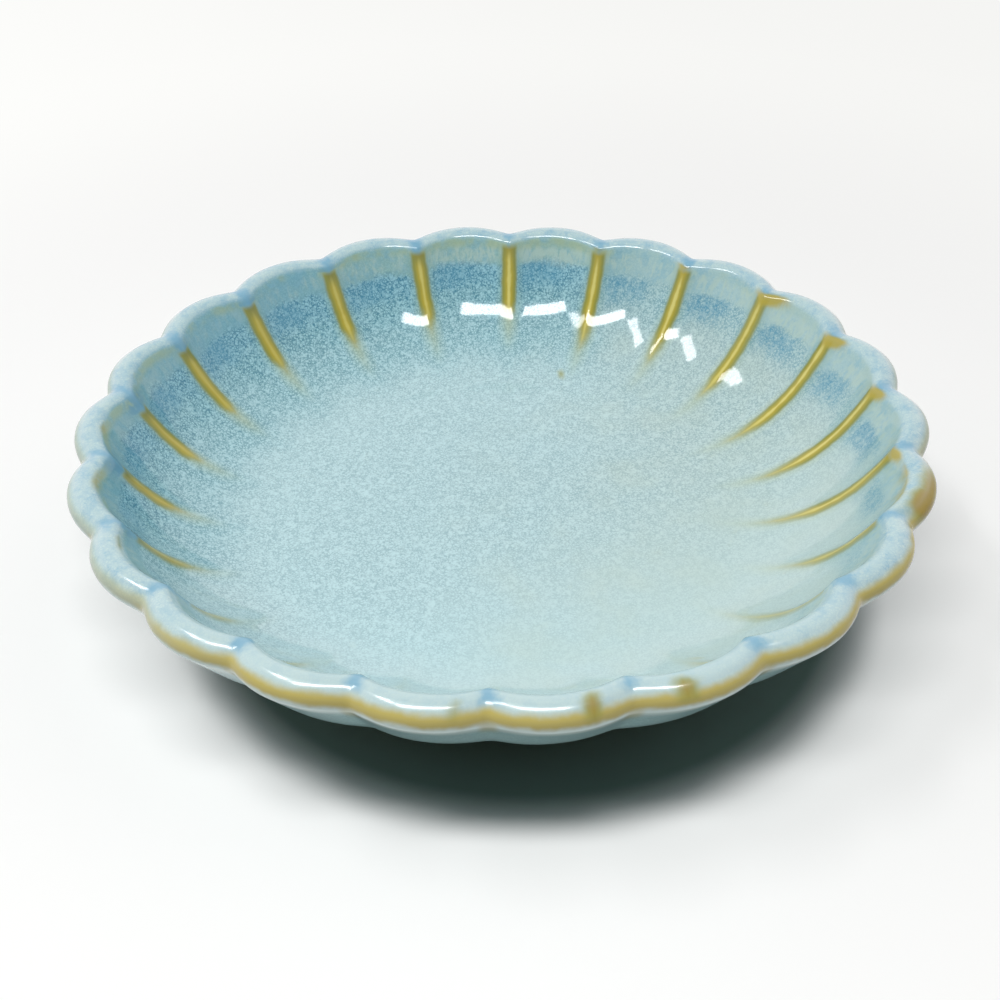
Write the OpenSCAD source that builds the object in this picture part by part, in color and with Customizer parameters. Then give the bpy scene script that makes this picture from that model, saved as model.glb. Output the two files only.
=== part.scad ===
// Small petal-rimmed dish for soy sauce, in glazed stoneware.
// The axis of the dish is Z, the table is at zero, and a petal crest lies on +X.

/* [Dish] */
// Diameter over the petal crests of the rim
rim_d = 100; // [90:1:115]
// Height from the table to the top of the lip
dish_h = 21.5; // [20.5:0.5:26]
// Depth of the well, from the top of the lip to the flat floor
well_depth = 13.3; // [12.5:0.1:14]
// Radius of the cove between the flat floor and the wall, inside
cove_r = 18.5; // [15:0.5:20]
// Lean of the wall away from upright, in degrees
wall_lean = 35; // [30:1:38]

/* [Petals] */
// Number of petals round the rim
petals = 22; // [16:1:28]
// How far the rim is drawn in at each notch between two petals, outside
petal_out = 1.25; // [0.9:0.05:1.6]
// How far each ridge between two petals stands into the well, at the rim
petal_in = 1.3; // [0.9:0.05:1.6]
// How far the top of the rim sinks at each notch
petal_dip = 0.4; // [0.2:0.1:0.6]

/* [Clay] */
// Thickness of the wall at a notch, with its glaze
wall_t = 3.5; // [3:0.1:4.2]
// Thickness of the fired clay under the floor
clay_floor_t = 2.6; // [2.3:0.1:4]

/* [Glaze] */
// Thickness of the glaze where it pools
glaze_t = 0.5; // [0.4:0.05:0.7]
// Thickness of the glaze where it runs thin over the ridges
glaze_thin_t = 0.3; // [0.2:0.05:0.4]

/* [Foot] */
// How far the foot ring reaches out beyond the edge of the flat floor
foot_out = 5.8; // [4:0.1:7]
// Width of the foot ring where it joins the clay body
foot_w = 5.4; // [4.6:0.1:7]
// Width of the flat face that the dish rests on
foot_face_w = 2.2; // [1.6:0.1:2.8]
// Radius of the worn edge on each side of the flat face
foot_edge_r = 0.5; // [0.3:0.05:0.7]
// Width of bare clay left between the foot ring and each glaze beside it
bare_w = 1; // [0.5:0.1:1.8]

/* [Hidden] */

// Petals go round a whole number of times
petal_count = round(petals);

// Slope of the wall above the horizontal, and its sine and cosine
slope = 90 - wall_lean;
slope_sin = sin(slope);
slope_cos = cos(slope);

// Depths of the ridges and the notches, measured square to the wall
ridge_n = petal_in * slope_sin;
notch_n = petal_out * slope_sin;

// Thickness of the floor with the glaze on both sides
floor_stack_t = clay_floor_t + 2 * glaze_t;

// Heights of the floor of the well and of the clay's flat underside
floor_z = dish_h - well_depth;
under_z = floor_z - glaze_t - clay_floor_t;

// At a petal crest, the lip's radius and how far its centre lies outside the line of the ridges
crest_lip_r = (wall_t + notch_n - ridge_n) / 2;
crest_lip_out = (wall_t + notch_n + ridge_n) / 2;

// Radius of the flat floor that leaves room for the cove, the wall and the lip inside the rim
floor_r = rim_d / 2 - crest_lip_r - crest_lip_out / slope_sin
    - (well_depth - crest_lip_r) * slope_cos / slope_sin - cove_r * tan(slope / 2);

// Top of the cove on the line of the ridges, as [radius, height]
cove_top = [floor_r + cove_r * slope_sin, floor_z + cove_r * (1 - slope_cos)];

// Radii of the foot ring, and of the flat turned underside that carries it
foot_r = floor_r + foot_out;
recess_r = foot_r - foot_w;
turned_r = foot_r + bare_w;

// Share of the cove at which the outside glaze ends, on the shoulder beside the turned underside
end_share = asin((foot_out + bare_w) / (cove_r + floor_stack_t - glaze_t)) / slope;

// Softness of the ridges inside and of the notches outside, and the roundness of a petal
ridge_soft_share = 0.05;
notch_soft_share = 0.12;
petal_power = 2.1;
// How much of a petal has grown at the top of the cove, and how late it starts
cove_grow_share = 0.72;
grow_power = 1.4;

// How far the shoulders of the lip stand out from a plain half round, as shares of its radius,
// and how far round from the top the outer one reaches, in degrees
shoulder_in_share = 0.07;
shoulder_out_share = 0.08;
shoulder_out_angle = 80;

// Places of the columns across one petal, as shares of its half width, with the crest at 0
across_shares = [-0.8, -0.45, 0, 0.45, 0.8, 1];
cove_steps = 6;
lip_steps = 10;
core_cove_steps = 4;
core_lip_steps = 4;
edge_steps = 4;
round_fn = 96;

columns = petal_count * len(across_shares);

// Place of a column across its petal, and its angle round the dish
function across(j) = across_shares[j % len(across_shares)];
function turn(j) = (floor(j / len(across_shares)) + across(j) / 2) * 360 / petal_count;

// Distance from the nearest notch, from 0 at the notch to 1 at the crest, rounded off at the notch
function notch_distance(w, soft) =
    (sqrt(w * w + soft * soft) - soft) / (sqrt(1 + soft * soft) - soft);

// Swell of a petal, from 0 at the notch to 1 at the crest, and its depth on either side
function swell(a, soft) = 1 - pow(1 - notch_distance(1 - abs(a), soft), petal_power);
function swell_in(a) = ridge_n * swell(a, ridge_soft_share);
function swell_out(a) = notch_n * swell(a, notch_soft_share);

// Growth of a petal at a share of the cove: none at the start, most of it at the top
function grow(share) = cove_grow_share * pow(share, grow_power);

// Lip at a column: its radius, and its centre as [radius, height]
function lip_r(a) = (wall_t + swell_out(a) - swell_in(a)) / 2;
function lip_out(a) = (wall_t + swell_out(a) + swell_in(a)) / 2;
function lip_top(a) = dish_h - petal_dip * (1 - swell(a, notch_soft_share));
function lip_run(a) = (lip_top(a) - lip_r(a) - cove_top[1] + lip_out(a) * slope_cos) / slope_sin;
function lip_centre(a) = cove_top
    + lip_out(a) * [slope_sin, -slope_cos]
    + lip_run(a) * [slope_cos, slope_sin];

// Share by which the lip stands out at a tilt from upright, inward above zero and outward below it
function shoulder(tilt) = tilt > 0
    ? shoulder_in_share * (1 - cos(360 * tilt / slope)) / 2
    : shoulder_out_share * (1 - cos(360 * max(tilt / shoulder_out_angle, -1))) / 2;
function lip_reach(tilt, a) = lip_r(a) * (1 + shoulder(tilt));

// Glaze at a share of the way up: even low down, and thinner over the ridges of the upper wall
function glaze_at(share, a) =
    glaze_t - (glaze_t - glaze_thin_t) * (1 - swell(a, ridge_soft_share)) * share;

// Depth of the inside and of the outside below the line of the ridges, at a share of the way up
function depth_in(share, a) = swell_in(a) * grow(share);
function depth_out(share, a) =
    floor_stack_t + (wall_t - floor_stack_t) * share + swell_out(a) * grow(share);

// Point of the cove at a share of its arc and a depth below the line of the ridges
function cove_point(share, depth) =
    [floor_r, floor_z + cove_r]
    + (cove_r + depth) * [sin(slope * share), -cos(slope * share)];

// The three stretches of one column, each a number of glazes deep: inside, lip and outside
function inside_point(share, a, deep) =
    cove_point(share, depth_in(share, a) + deep * glaze_at(share, a));
function lip_point(share, a, deep) =
    let (tilt = slope - 180 * share)
    lip_centre(a) + (lip_reach(tilt, a) - deep * glaze_at(1, a)) * [-sin(tilt), cos(tilt)];
function outside_point(share, a, deep) =
    cove_point(end_share + (1 - end_share) * share, depth_out(share, a) - deep * glaze_at(share, a));

// One column from the floor over the lip to the shoulder beside the foot
function profile(a, deep, cove_n, lip_n) = concat(
    [for (k = [0 : cove_n]) inside_point(k / cove_n, a, deep)],
    [for (k = [0 : lip_n]) lip_point(k / lip_n, a, deep)],
    [for (k = [cove_n : -1 : 0]) outside_point(k / cove_n, a, deep)]);

// A point of a column, as [radius, height], carried round to the column's angle
function placed(p, j) = [p[0] * cos(turn(j)), p[0] * sin(turn(j)), p[1]];

// Rings of points round the dish, one for each place along the profile
function rings(deep, cove_n, lip_n) =
    let (profiles = [for (j = [0 : columns - 1]) profile(across(j), deep, cove_n, lip_n)])
    [for (i = [0 : len(profiles[0]) - 1]) [for (j = [0 : columns - 1]) placed(profiles[j][i], j)]];

function reversed(list) = [for (i = [len(list) - 1 : -1 : 0]) list[i]];

// Two triangles between rings i and i + 1 at column j, cut on one diagonal or on the other
function patch(i, j, other) =
    let (a = i * columns + j, b = i * columns + (j + 1) % columns, c = a + columns, d = b + columns)
    other ? [[a, b, c], [b, d, c]] : [[a, b, d], [a, d, c]];

// Closed solid through a stack of rings, with a flat cap on the first and on the last.
// From the ring named back, the stack runs back along a surface, and takes the same triangles.
module ring_stack(stack, back) {
    last = len(stack) - 1;
    sides = [for (i = [0 : last - 1], j = [0 : columns - 1]) each patch(i, j, i >= back)];
    first_cap = [for (j = [columns - 1 : -1 : 0]) j];
    last_cap = [for (j = [0 : columns - 1]) last * columns + j];
    polyhedron(
        points = [for (ring = stack) each ring],
        faces = concat([first_cap], sides, [last_cap]),
        convexity = 6);
}

// Surface where the glaze meets the clay
core_rings = rings(1, core_cove_steps, core_lip_steps);
// Surface of the glaze
glaze_rings = rings(0, cove_steps, lip_steps);

// Fired clay: the floor and the petalled wall under the glaze, turned flat underneath
module clay_body() {
    turned = [for (j = [0 : columns - 1]) placed([turned_r, under_z], j)];
    stack = concat(core_rings, [turned]);
    color([0.79, 0.74, 0.66])
        ring_stack(stack, len(stack));
}

// Bare ring of clay under the body, which the dish stands on
module foot_ring() {
    taper = (foot_w - foot_face_w) / 2 - foot_edge_r;
    edge_out = [for (k = [0 : edge_steps]) let (t = 90 * k / edge_steps)
        [foot_r - taper - foot_edge_r * (1 - cos(t)), foot_edge_r * (1 - sin(t))]];
    edge_in = [for (k = [edge_steps : -1 : 0]) let (t = 90 * k / edge_steps)
        [recess_r + taper + foot_edge_r * (1 - cos(t)), foot_edge_r * (1 - sin(t))]];
    color([0.75, 0.69, 0.6])
        rotate_extrude($fn = round_fn)
            polygon(concat([[recess_r, under_z], [foot_r, under_z]], edge_out, edge_in));
}

// Glaze over the well, the lip and the outside, ending on the shoulder beside the foot
module glaze_coat() {
    color([0.62, 0.8, 0.81])
        ring_stack(concat(glaze_rings, reversed(core_rings)), len(glaze_rings));
}

// Glaze on the clay inside the foot ring
module base_glaze() {
    color([0.62, 0.8, 0.81])
        translate([0, 0, under_z - glaze_t])
            cylinder(r = recess_r - bare_w, h = glaze_t, $fn = round_fn);
}

clay_body();
foot_ring();
glaze_coat();
base_glaze();
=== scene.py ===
"""Looks of the petal-rimmed soy sauce dish.

Fired clay, a turned foot, and a reactive glaze that pools blue and breaks amber over the ridges.
"""

import math

import bpy
import numpy as np
from mathutils import Matrix, Vector, noise


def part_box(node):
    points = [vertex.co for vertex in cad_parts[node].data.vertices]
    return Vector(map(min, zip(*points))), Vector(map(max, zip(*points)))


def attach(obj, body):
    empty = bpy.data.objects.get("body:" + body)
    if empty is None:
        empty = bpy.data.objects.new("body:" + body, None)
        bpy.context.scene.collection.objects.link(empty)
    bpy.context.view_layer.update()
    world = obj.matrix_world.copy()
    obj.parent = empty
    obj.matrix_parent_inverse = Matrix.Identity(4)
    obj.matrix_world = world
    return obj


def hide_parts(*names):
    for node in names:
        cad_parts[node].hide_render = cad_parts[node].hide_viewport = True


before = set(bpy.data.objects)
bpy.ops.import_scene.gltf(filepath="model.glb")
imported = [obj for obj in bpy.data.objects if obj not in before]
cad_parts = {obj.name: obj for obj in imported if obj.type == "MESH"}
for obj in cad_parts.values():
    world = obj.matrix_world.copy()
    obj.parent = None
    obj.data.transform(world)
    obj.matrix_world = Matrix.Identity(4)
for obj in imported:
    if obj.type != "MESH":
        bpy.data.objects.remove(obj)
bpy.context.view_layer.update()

MM = 0.001

# Sizes that the frame gives
foot_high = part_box("foot_ring")[1]
base_low, base_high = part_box("base_glaze")
DISH_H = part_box("glaze_coat")[1].z
FOOT_R = foot_high.x
UNDER_Z = foot_high.z
BASE_R = base_high.x
BASE_LOW_Z = base_low.z

# Sizes of the form, as in the part's source
WELL_DEPTH = 13.3 * MM
COVE_R = 18.5 * MM
WALL_LEAN = math.radians(35)
PETALS = 22
PETAL_OUT = 1.25 * MM
PETAL_IN = 1.3 * MM
PETAL_DIP = 0.4 * MM
WALL_T = 3.5 * MM
CLAY_FLOOR_T = 2.6 * MM
GLAZE_T = 0.5 * MM
GLAZE_THIN_T = 0.3 * MM
FOOT_OUT = 5.8 * MM
FOOT_W = 5.4 * MM
FOOT_FACE_W = 2.2 * MM
FOOT_EDGE_R = 0.5 * MM
BARE_W = 1.0 * MM
RIDGE_SOFT = 0.05
NOTCH_SOFT = 0.12
PETAL_POWER = 2.1
COVE_GROW = 0.72
GROW_POWER = 1.4
# Shares by which the lip stands out from a half round: inside, and where it is flattened outside
SHOULDER_IN = 0.03
SHOULDER_OUT = -0.058
SHOULDER_OUT_MIDDLE = math.radians(37)
SHOULDER_OUT_HALF = math.radians(32)
# How far the glaze stands up where the inner wall turns sharply into the lip
SHOULDER_EDGE = 0.35 * MM
# How much softer a ridge is at the foot of the cove than at the lip
RIDGE_SOFTER = 0.25
# The petals were set by eye: how far round each has strayed, in degrees, as waves round the rim
STRAY = ((1, -0.26, -0.31), (2, 0.64, -0.03), (3, 0.08, -0.27), (4, -0.20, -0.14))

# Sizes that follow from them
SLOPE = math.pi / 2 - WALL_LEAN
SIN, COS = math.sin(SLOPE), math.cos(SLOPE)
RIDGE_N, NOTCH_N = PETAL_IN * SIN, PETAL_OUT * SIN
STACK_T = CLAY_FLOOR_T + 2 * GLAZE_T
FLOOR_Z = DISH_H - WELL_DEPTH
FLOOR_R = FOOT_R - FOOT_OUT
RECESS_R = FOOT_R - FOOT_W
TURNED_R = FOOT_R + BARE_W
COVE_TOP_R = FLOOR_R + COVE_R * SIN
COVE_TOP_Z = FLOOR_Z + COVE_R * (1 - COS)
END_SHARE = math.asin((FOOT_OUT + BARE_W) / (COVE_R + STACK_T - GLAZE_T)) / SLOPE
PITCH = 2 * math.pi / PETALS

# Rings of the meshes across the floor, up the cove, along the wall and round the lip
OUTER_RINGS = {"floor_n": 10, "cove_n": 40, "wall_n": 4, "lip_n": 18}
CLAY_RINGS = {"floor_n": 2, "cove_n": 8, "wall_n": 1, "lip_n": 6}
# Columns across a petal
OUTER_COLUMNS = 30
CLAY_COLUMNS = 16
# Steps round an edge, down the side of the foot and across a flat face
EDGE_STEPS = 8
TURNED_EDGE_STEPS = 6
SIDE_STEPS = 24
FACE_STEPS = 8
# Softened edge of the turned underside, and the turning lines on the foot
TURNED_EDGE_R = 0.35 * MM
GROOVE_PITCH = 0.55 * MM
GROOVE_DEPTH = 0.05 * MM
# The glaze inside the foot: its rings on the clay and on its face, how far its edge wanders, and
# the depth and size of its ripples
BASE_CLAY_RINGS = 20
BASE_FACE_RINGS = 30
BASE_WANDER = 0.5 * MM
BASE_RIPPLE = 0.03 * MM
BASE_RIPPLE_SIZE = 6 * MM

# The photograph's camera, found from the rim and the ridges
IMAGE_PX = 1000
FOCAL_PX = 1537.8
RIM_CENTRE_PX = (501.84, 414.35)
CAMERA_DISTANCE = 180.14 * MM
CAMERA_ELEVATION = math.radians(33.476)
CAMERA_ROLL = math.radians(0.727)
CAMERA_TURN = math.radians(1.029)
SENSOR_MM = 36


def linear(red, green, blue):
    """A colour as the eye sees it, 0 to 255, as the linear colour that a shader takes."""
    shares = [channel / 255 for channel in (red, green, blue)]
    return tuple(s / 12.92 if s <= 0.04045 else ((s + 0.055) / 1.055) ** 2.4 for s in shares)


# Relief of the fired glaze: how deep it is, the seed, size and share of each kind of lump, and over
# how much of the lower edge it dies out
RELIEF = 0.04 * MM
RELIEF_LUMPS = ((1, 5 * MM, 0.5), (2, 1.6 * MM, 0.2))
RELIEF_FADE = 2 * MM
# Side of the dish on which the grain of the glaze is darkest, and the place of a pool from one
# ridge to the next
GRAINY_SIDE = math.radians(168)
POOL_PLACE = 0.36
# Where the grain turns from each of its shades into the next, in mm below the inner shoulder
GRAIN_PLACES = ((22.0, 13.5), (13.0, 8.5), (8.5, 5.5))
# The lists below count clockwise, and begin with the ridge at the back left
FIRST_RIDGE = 7
# Amber of each ridge: where it starts, how far it is strong and where it has faded, in mm below
# the inner shoulder of the lip, and its strength
RIDGES = (
    (0.4, 9.5, 12.5, 1.0),
    (0.3, 9.0, 13.0, 1.0),
    (0.2, 9.5, 11.5, 1.0),
    (0.3, 10.0, 16.0, 1.0),
    (0.2, 9.5, 15.5, 1.0),
    (-0.4, 12.0, 17.0, 0.9),
    (-0.5, 12.0, 20.5, 1.0),
    (-0.4, 12.0, 20.0, 1.0),
    (0.4, 11.0, 21.0, 0.85),
    (0.8, 9.0, 17.0, 0.65),
    (1.5, 9.0, 19.0, 0.4),
    (1.5, 8.0, 15.0, 0.35),
    (1.0, 8.0, 14.0, 0.5),
    (1.2, 9.0, 14.0, 0.6),
    (1.0, 8.0, 13.0, 0.5),
    (1.5, 9.0, 13.0, 0.5),
    (3.5, 9.0, 13.0, 0.4),
    (2.5, 9.0, 13.5, 0.65),
    (2.3, 10.0, 12.5, 0.9),
    (2.2, 10.5, 13.0, 0.95),
    (1.1, 10.5, 12.5, 1.0),
    (0.8, 9.5, 12.0, 1.0),
)
# How strongly the blue pools between one ridge and the next
POOLING = (
    0.60, 0.75, 0.80, 0.90, 0.90, 0.85, 0.85, 0.90, 0.60, 0.30, 0.20,
    0.25, 0.35, 0.30, 0.35, 0.40, 0.50, 0.75, 0.90, 1.00, 0.95, 0.75,
)  # fmt: skip
# Amber and olive spots: petals clockwise from the first ridge, upper end, lower end and half width
# in mm, and strength
SPOTS = (
    (16.72, -0.5, 0.6, 1.8, 0.60),
    (17.60, -0.7, 0.7, 2.8, 0.80),
    (18.42, -0.4, 0.7, 2.0, 0.70),
    (19.30, -0.2, 0.8, 1.6, 0.65),
    (8.55, -4.9, -1.3, 5.0, 1.15),
    (8.74, -5.2, -1.2, 2.8, 1.60),
    (11.66, -4.6, -1.0, 1.5, 0.95),
    (12.30, -4.8, -0.6, 1.3, 1.00),
    (13.22, -4.2, -1.2, 1.0, 0.65),
    (2.86, 19.2, 21.2, 0.8, 0.75),
    (10.90, 12.0, 15.0, 0.9, 0.50),
    (5.08, -0.9, 0.7, 2.5, 1.60),
    (6.07, -0.9, 0.7, 2.0, 1.60),
    (7.06, -0.9, 0.8, 1.6, 1.50),
    (8.06, -0.6, 1.4, 1.8, 1.40),
    (8.36, -0.3, 1.4, 2.4, 1.30),
    (8.60, -0.4, 1.0, 4.6, 0.85),
    (8.62, 1.2, 3.2, 0.9, 0.85),
    (8.88, 1.2, 3.2, 0.9, 0.85),
    (3.98, -0.4, 0.6, 1.4, 0.85),
    (2.98, -0.3, 0.7, 1.5, 0.75),
    (0.12, 0.0, 0.9, 1.9, 0.65),
)
# How steeply a spot falls off from its middle
SPOT_FALL = 1.2


# Form of the dish: the same formulas as in the part's source, on arrays of columns


def notch_distance(w, soft):
    return (np.sqrt(w * w + soft * soft) - soft) / (math.sqrt(1 + soft * soft) - soft)


def swell(across, soft):
    return 1 - (1 - notch_distance(1 - np.abs(across), soft)) ** PETAL_POWER


def grow(share):
    return COVE_GROW * share**GROW_POWER


def shoulder(tilt):
    """Share by which the lip stands out from a half round, at a tilt that is inward above zero."""
    if tilt > 0:
        return SHOULDER_IN * (1 - math.cos(2 * math.pi * tilt / SLOPE)) / 2
    away = min(abs(tilt + SHOULDER_OUT_MIDDLE) / SHOULDER_OUT_HALF, 1)
    return SHOULDER_OUT * (1 + math.cos(math.pi * away)) / 2


def cove_point(share, depth):
    """Radius and height at a share of the cove's arc, a depth below the line of the ridges."""
    angle = SLOPE * share
    radius = COVE_R + depth
    return FLOOR_R + radius * np.sin(angle), FLOOR_Z + COVE_R - radius * np.cos(angle)


class Columns:
    """The columns round the dish, with closer ones at the ridges, and the profile of each."""

    CLUSTER = 0.45

    def __init__(self, per_petal):
        steps = (np.arange(per_petal) + 1) * 2 / per_petal - 1
        across = self.CLUSTER * np.sin(steps * math.pi / 2) + (1 - self.CLUSTER) * steps
        self.across = np.tile(across, PETALS)
        self.petal = np.repeat(np.arange(PETALS), per_petal)
        even = (self.petal + self.across / 2) * PITCH
        stray = sum(a * np.cos(m * even) + b * np.sin(m * even) for m, a, b in STRAY)
        self.angle = even + np.radians(stray)
        self.swell_in = RIDGE_N * swell(self.across, RIDGE_SOFT)
        self.swell_out = NOTCH_N * swell(self.across, NOTCH_SOFT)
        self.sink = PETAL_DIP * (1 - swell(self.across, NOTCH_SOFT))

    def glaze_at(self, share):
        thin = (GLAZE_T - GLAZE_THIN_T) * (1 - swell(self.across, RIDGE_SOFT))
        return GLAZE_T - thin * share

    def inside(self, share, deep):
        bulge = RIDGE_N * swell(self.across, RIDGE_SOFT + RIDGE_SOFTER * (1 - share))
        return cove_point(share, bulge * grow(share) + deep * self.glaze_at(share))

    def lip(self, share, deep):
        radius = (WALL_T + self.swell_out - self.swell_in) / 2
        out = (WALL_T + self.swell_out + self.swell_in) / 2
        run = (DISH_H - self.sink - radius - COVE_TOP_Z + out * COS) / SIN
        tilt = SLOPE - math.pi * share
        edge = SHOULDER_EDGE * max(tilt / SLOPE, 0) ** 1.5
        reach = radius * (1 + shoulder(tilt)) + edge - deep * self.glaze_at(1)
        return (
            COVE_TOP_R + out * SIN + run * COS - reach * math.sin(tilt),
            COVE_TOP_Z - out * COS + run * SIN + reach * math.cos(tilt),
        )

    def outside(self, share, deep):
        depth = STACK_T + (WALL_T - STACK_T) * share + self.swell_out * grow(share)
        return cove_point(END_SHARE + (1 - END_SHARE) * share, depth - deep * self.glaze_at(share))

    def rings(self, deep, floor_n, cove_n, wall_n, lip_n):
        """Rings of (radius, height) from the middle of the well over the lip to beside the foot."""
        floor_z = FLOOR_Z - deep * GLAZE_T
        rings = [(FLOOR_R * (k + 0.5) / floor_n, floor_z) for k in range(floor_n)]
        rings += [self.inside(k / cove_n, deep) for k in range(cove_n)]
        rings += self.between(self.inside(1, deep), self.lip(0, deep), wall_n, SHOULDER_EDGE)
        rings += [self.lip(k / lip_n, deep) for k in range(lip_n)]
        rings += self.between(self.lip(1, deep), self.outside(1, deep), wall_n)
        rings += [self.outside(1 - k / cove_n, deep) for k in range(cove_n + 1)]
        return rings

    @staticmethod
    def between(start, end, count, edge=0.0):
        """Rings from one up to another, without the last. An edge bends them in near the end."""
        rings = []
        for share in (k / count for k in range(count)):
            bend = edge * (share**2.5 - share)
            radius, height = (s + (e - s) * share for s, e in zip(start, end))
            rings.append((radius - bend * SIN, height + bend * COS))
        return rings

    def placed(self, rings):
        """Rings of (radius, height), each a number or one a column, as points ring by ring."""
        even = [[np.broadcast_to(value, self.angle.shape) for value in ring] for ring in rings]
        radius, height = np.array(even).transpose(1, 0, 2)
        return np.stack([radius * np.cos(self.angle), radius * np.sin(self.angle), height], -1)


# Meshes


def surface_normals(points):
    """Outward normals of a grid of points whose columns go round the dish."""
    along = np.gradient(points, axis=0)
    around = np.roll(points, -1, 1) - np.roll(points, 1, 1)
    normals = np.cross(along, around)
    return normals / np.maximum(np.linalg.norm(normals, axis=-1, keepdims=True), 1e-12)


def noise_at(points, size, seed):
    """Smooth noise from about -1 to 1 at each point, whose lumps are about size across."""
    shift = Vector((seed * 7.3, seed * 3.1, seed * 5.7))
    flat = points.reshape(-1, 3) / size
    return np.array([noise.noise(Vector(p) + shift) for p in flat]).reshape(points.shape[:-1])


def smooth_object(name, vertices, faces):
    mesh = bpy.data.meshes.new(name)
    mesh.from_pydata(vertices.tolist(), [], faces)
    mesh.update()
    mesh.shade_smooth()
    made = bpy.data.objects.new(name, mesh)
    bpy.context.scene.collection.objects.link(made)
    return made


def grid_object(name, points, attributes=()):
    """A closed solid through rings of points, with a middle point that closes each end."""
    rings, columns = points.shape[:2]
    ends = [points[0].mean(0), points[-1].mean(0)]
    vertices = np.concatenate([points.reshape(-1, 3), ends])
    i, j = np.meshgrid(np.arange(rings - 1), np.arange(columns), indexing="ij")
    here = i * columns + j
    beside = i * columns + (j + 1) % columns
    quads = np.stack([here, here + columns, beside + columns, beside], -1).reshape(-1, 4)
    first = np.arange(columns)
    beside_first = (first + 1) % columns
    last = (rings - 1) * columns
    centre = rings * columns
    start = np.stack([np.full(columns, centre), first, beside_first], -1)
    end = np.stack([np.full(columns, centre + 1), last + beside_first, last + first], -1)
    made = smooth_object(name, vertices, quads.tolist() + start.tolist() + end.tolist())
    for key, values in dict(attributes).items():
        whole = np.concatenate([values.reshape(-1), [values[0].mean(), values[-1].mean()]])
        layer = made.data.attributes.new(key, "FLOAT", "POINT")
        layer.data.foreach_set("value", whole.astype(np.float32))
    return made


def ring_object(name, points):
    """A closed ring through rings of points, whose first and last are joined."""
    rings, columns = points.shape[:2]
    i, j = np.meshgrid(np.arange(rings), np.arange(columns), indexing="ij")
    here = i * columns + j
    beside = i * columns + (j + 1) % columns
    below = (i + 1) % rings * columns + j
    corner = (i + 1) % rings * columns + (j + 1) % columns
    faces = np.stack([here, below, corner, beside], -1).reshape(-1, 4)
    return smooth_object(name, points.reshape(-1, 3), faces.tolist())


def part_of_dish(obj, node, material):
    obj.data.materials.append(material)
    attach(obj, "root")
    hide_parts(node)


def glaze_skin(material):
    """The glaze over the well, lip and outside: a dense outer face, closed by one on the clay."""
    columns = Columns(OUTER_COLUMNS)
    outer = columns.placed(columns.rings(0, **OUTER_RINGS))
    inner = columns.placed(columns.rings(1, **CLAY_RINGS))[::-1]
    radius = np.hypot(outer[..., 0], outer[..., 1])
    steps = np.linalg.norm(np.diff(outer, axis=0), axis=-1)
    arc = np.concatenate([np.zeros((1, steps.shape[1])), np.cumsum(steps, 0)])
    lip_start = OUTER_RINGS["floor_n"] + OUTER_RINGS["cove_n"] + OUTER_RINGS["wall_n"]
    drop = (arc[lip_start] - arc) / MM
    # Clockwise place across a petal, from 0 at one ridge to 1 at the next
    clockwise = (1 - columns.across) / 2
    nearest = (FIRST_RIDGE - columns.petal + (columns.across <= 0)) % PETALS
    start, strong, faded, strength = np.array(RIDGES)[nearest].T
    petal_count = (FIRST_RIDGE - columns.petal) % PETALS + clockwise
    pool_places = np.arange(PETALS) + 0.5
    values = {
        "drop": drop,
        "ridge": (1 - np.abs(columns.across)) / 2 * PITCH * radius / MM,
        "middle": np.abs(columns.across),
        "phase": np.cos(2 * math.pi * (clockwise - POOL_PLACE)),
        "start": start,
        "strong": strong,
        "faded": faded,
        "strength": strength,
        "pooling": np.interp(petal_count % PETALS, pool_places, POOLING, period=PETALS),
        "spots": spots_at(petal_count, drop, radius),
    }
    relief = sum(noise_at(outer, size, seed) * share for seed, size, share in RELIEF_LUMPS)
    edge = np.clip((arc[-1] - arc) / RELIEF_FADE, 0, 1)
    sink = RELIEF * (0.7 + relief) * edge
    outer = outer - surface_normals(outer) * sink[..., None]
    fill = np.zeros(inner.shape[:2])
    attributes = {
        key: np.concatenate([np.broadcast_to(value, radius.shape), fill])
        for key, value in values.items()
    }
    skin = grid_object("glaze_skin", np.concatenate([outer, inner]), attributes)
    part_of_dish(skin, "glaze_coat", material)


def spots_at(petal_count, drop, radius):
    """Strength of the spots at petals clockwise, mm below the inner shoulder, and a radius."""
    spots = np.zeros_like(drop)
    for count, low, high, width, amount in SPOTS:
        beside = (petal_count - count + PETALS / 2) % PETALS - PETALS / 2
        sideways = beside * PITCH * radius / MM / width
        height = (drop - (low + high) / 2) / ((high - low) / 2)
        spots = np.maximum(spots, amount * np.exp(-SPOT_FALL * (sideways**2 + height**2)))
    return spots


def quarter_turn(steps):
    """Angles from 0 to a quarter turn, in equal steps."""
    return [math.pi / 2 * k / steps for k in range(steps + 1)]


def clay_form(material):
    """The clay under the glaze, turned flat underneath, with a softened edge by the foot."""
    columns = Columns(CLAY_COLUMNS)
    rings = columns.rings(1, **CLAY_RINGS)
    for angle in quarter_turn(TURNED_EDGE_STEPS):
        radius = TURNED_R - TURNED_EDGE_R * (1 - math.cos(angle))
        rings.append((radius, UNDER_Z + TURNED_EDGE_R * (1 - math.sin(angle))))
    for k in range(1, FACE_STEPS + 1):
        radius = TURNED_R - TURNED_EDGE_R + (0.5 * RECESS_R - TURNED_R) * k / FACE_STEPS
        rings.append((radius, UNDER_Z))
    form = grid_object("clay_form", columns.placed(rings))
    part_of_dish(form, "clay_body", material)


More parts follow.
